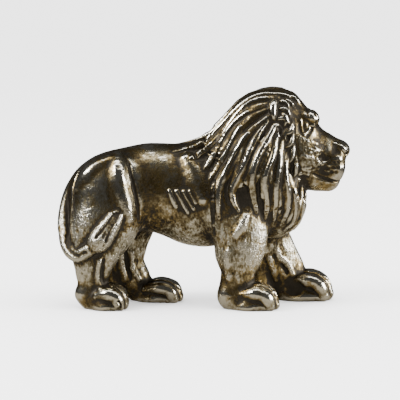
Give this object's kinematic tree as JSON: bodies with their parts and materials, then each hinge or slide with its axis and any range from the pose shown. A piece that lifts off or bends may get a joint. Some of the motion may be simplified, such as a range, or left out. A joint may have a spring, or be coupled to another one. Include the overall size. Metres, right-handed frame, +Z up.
{
  "type": "lion figurine",
  "caption": "Small cast metal lion standing in stride, with a carved mane and a tufted tail that curls forward against its thigh.",
  "frame": {"origin": "on the ground under the middle of the figure's box", "axes": "+X towards the nose, +Y towards the lion's left side, +Z up"},
  "size_m": [0.0618, 0.0232, 0.0467],
  "materials": {
    "cast_metal": "polished white metal with a dark brown patina in its recesses"
  },
  "bodies": {
    "root": {"lion": "cast_metal"}
  },
  "joints": []
}
